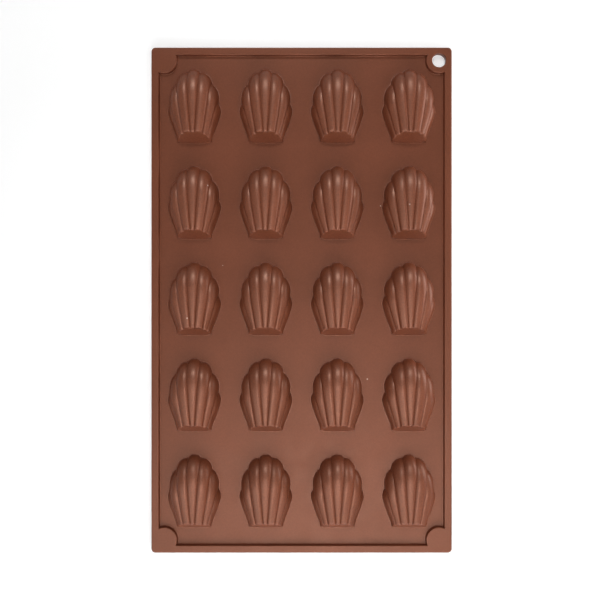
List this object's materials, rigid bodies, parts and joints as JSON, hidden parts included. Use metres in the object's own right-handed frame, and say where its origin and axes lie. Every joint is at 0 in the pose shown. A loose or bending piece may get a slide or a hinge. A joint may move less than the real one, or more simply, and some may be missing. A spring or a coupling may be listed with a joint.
{
  "type": "silicone madeleine mould",
  "caption": "Thin silicone baking sheet with a raised border, round corner pads, a hanging hole and rows of scalloped shell cups for small madeleine cakes.",
  "frame": {"origin": "middle of the open face, on the surface that the mould lies on with its cups up", "axes": "+Z out of the cups' crowns, +Y along the length to the cups' round ends, +X across to the side of the hanging hole"},
  "size_m": [0.175, 0.2942, 0.0124],
  "materials": {
    "silicone": "satin chocolate brown silicone"
  },
  "bodies": {
    "root": {"deck": "silicone", "rim_left": "silicone", "rim_right": "silicone", "rim_far": "silicone", "rim_near": "silicone", "corner_pad_far_left": "silicone", "corner_pad_near_left": "silicone", "corner_pad_near_right": "silicone", "hang_hole_pad": "silicone", "cup_row1_col1": "silicone", "cup_row1_col2": "silicone", "cup_row1_col3": "silicone", "cup_row1_col4": "silicone", "cup_row2_col1": "silicone", "cup_row2_col2": "silicone", "cup_row2_col3": "silicone", "cup_row2_col4": "silicone", "cup_row3_col1": "silicone", "cup_row3_col2": "silicone", "cup_row3_col3": "silicone", "cup_row3_col4": "silicone", "cup_row4_col1": "silicone", "cup_row4_col2": "silicone", "cup_row4_col3": "silicone", "cup_row4_col4": "silicone", "cup_row5_col1": "silicone", "cup_row5_col2": "silicone", "cup_row5_col3": "silicone", "cup_row5_col4": "silicone"}
  },
  "joints": []
}
